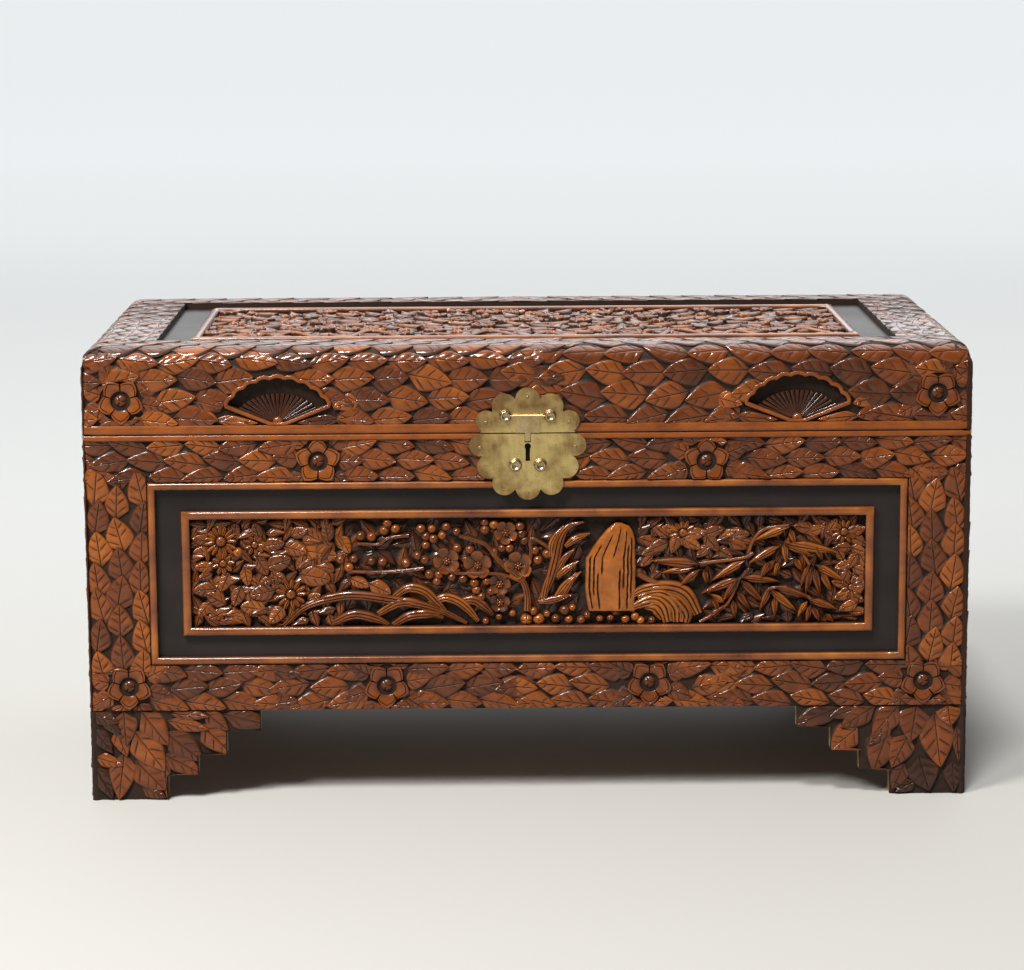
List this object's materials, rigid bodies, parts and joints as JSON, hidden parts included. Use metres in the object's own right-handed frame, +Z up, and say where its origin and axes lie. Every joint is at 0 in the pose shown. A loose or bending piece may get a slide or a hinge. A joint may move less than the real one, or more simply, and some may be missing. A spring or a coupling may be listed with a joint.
{
  "type": "carved wooden blanket chest",
  "caption": "Carved and lacquered wooden chest on stepped bracket feet, with panelled front and ends, a lift-up lid on stays, and a scalloped lock plate with a hinged hasp.",
  "frame": {"origin": "on the floor, under the middle of the chest's bounding box", "axes": "+X to the right along the length, +Y to the back where the hinges are, +Z up"},
  "size_m": [1, 0.5134, 0.52],
  "materials": {
    "carved_lacquered_wood": "carved and glossy amber-brown lacquer over near-black grooves",
    "black_lacquered_field": "flat black-brown lacquer, semi-gloss",
    "lacquered_moulding": "glossy orange-brown lacquer",
    "plain_camphor_wood": "plain planed boards, satin",
    "brass_hardware": "aged yellow brass",
    "iron_hardware": "plain iron"
  },
  "bodies": {
    "carcase": {"back_planks": "plain_camphor_wood", "floor_planks": "plain_camphor_wood", "foot_back_left": "carved_lacquered_wood", "foot_back_right": "carved_lacquered_wood", "foot_front_left": "carved_lacquered_wood", "foot_front_right": "carved_lacquered_wood", "foot_glue_blocks": "plain_camphor_wood", "front_bottom_rail": "carved_lacquered_wood", "front_carved_tablet": "carved_lacquered_wood", "front_field_boards": "black_lacquered_field", "front_field_moulding": "lacquered_moulding", "front_left_stile": "carved_lacquered_wood", "front_right_stile": "carved_lacquered_wood", "front_tablet_frame": "lacquered_moulding", "front_top_rail": "carved_lacquered_wood", "hinge_leaves_body": "brass_hardware", "hinge_pins": "brass_hardware", "hinge_screws_body": "brass_hardware", "left_back_stile": "carved_lacquered_wood", "left_bottom_rail": "carved_lacquered_wood", "left_carved_tablet": "carved_lacquered_wood", "left_field_boards": "black_lacquered_field", "left_front_stile": "carved_lacquered_wood", "left_tablet_frame": "lacquered_moulding", "left_top_rail": "carved_lacquered_wood", "lock_case": "iron_hardware", "lock_plate_lower": "brass_hardware", "lock_plate_nails_lower": "brass_hardware", "lock_studs": "brass_hardware", "right_back_stile": "carved_lacquered_wood", "right_bottom_rail": "carved_lacquered_wood", "right_carved_tablet": "carved_lacquered_wood", "right_field_boards": "black_lacquered_field", "right_front_stile": "carved_lacquered_wood", "right_tablet_frame": "lacquered_moulding", "right_top_rail": "carved_lacquered_wood", "stay_brackets_body": "brass_hardware"},
    "lid": {"lid_back_skirt": "carved_lacquered_wood", "lid_carved_tablet": "carved_lacquered_wood", "lid_field_boards": "black_lacquered_field", "lid_front_skirt": "carved_lacquered_wood", "lid_left_skirt": "carved_lacquered_wood", "lid_right_skirt": "carved_lacquered_wood", "lid_tablet_frame": "lacquered_moulding", "lid_top_back_rail": "carved_lacquered_wood", "lid_top_front_rail": "carved_lacquered_wood", "lid_top_left_stile": "carved_lacquered_wood", "lid_top_right_stile": "carved_lacquered_wood", "lock_plate_upper": "brass_hardware", "lock_plate_nails_upper": "brass_hardware", "hasp_pin_and_posts": "brass_hardware", "hinge_leaves_lid": "brass_hardware", "hinge_screws_lid": "brass_hardware", "stay_brackets_lid": "brass_hardware"},
    "hasp": {"hasp": "brass_hardware"},
    "lock_bolt": {"lock_bolt": "iron_hardware"},
    "stay_body_arm_left": {"stay_body_arm_left": "brass_hardware"},
    "stay_body_arm_right": {"stay_body_arm_right": "brass_hardware"},
    "stay_lid_arm_left": {"stay_lid_arm_left": "brass_hardware"},
    "stay_lid_arm_right": {"stay_lid_arm_right": "brass_hardware"}
  },
  "joints": [
    {"name": "lid_hinge", "type": "hinge", "parent": "carcase", "child": "lid", "pos_m": [0, 0.2535, 0.4215], "axis": [-1, 0, 0], "range_deg": [0, 98]},
    {"name": "hasp_hinge", "type": "hinge", "parent": "lid", "child": "hasp", "pos_m": [0, -0.2545, 0.4412], "axis": [-1, 0, 0], "range_deg": [0, 150]},
    {"name": "lock_bolt_slide", "type": "slide", "parent": "carcase", "child": "lock_bolt", "axis": [-1, 0, 0], "range_m": [0, 0.007]},
    {"name": "stay_body_arm_left_pivot", "type": "hinge", "parent": "carcase", "child": "stay_body_arm_left", "pos_m": [-0.472, 0.14423, 0.29127], "axis": [-1, 0, 0], "range_deg": [0, 98]},
    {"name": "stay_lid_arm_left_pivot", "type": "hinge", "parent": "lid", "child": "stay_lid_arm_left", "pos_m": [-0.4693, 0.10861, 0.46032], "axis": [1, 0, 0], "range_deg": [0, 98]},
    {"name": "stay_body_arm_right_pivot", "type": "hinge", "parent": "carcase", "child": "stay_body_arm_right", "pos_m": [0.472, 0.14423, 0.29127], "axis": [-1, 0, 0], "range_deg": [0, 98]},
    {"name": "stay_lid_arm_right_pivot", "type": "hinge", "parent": "lid", "child": "stay_lid_arm_right", "pos_m": [0.4693, 0.10861, 0.46032], "axis": [1, 0, 0], "range_deg": [0, 98]}
  ],
  "couplings": [
    {"joint": "stay_body_arm_left_pivot", "follows": "lid_hinge", "ratio": 1},
    {"joint": "stay_lid_arm_left_pivot", "follows": "lid_hinge", "ratio": 1},
    {"joint": "stay_body_arm_right_pivot", "follows": "lid_hinge", "ratio": 1},
    {"joint": "stay_lid_arm_right_pivot", "follows": "lid_hinge", "ratio": 1}
  ]
}
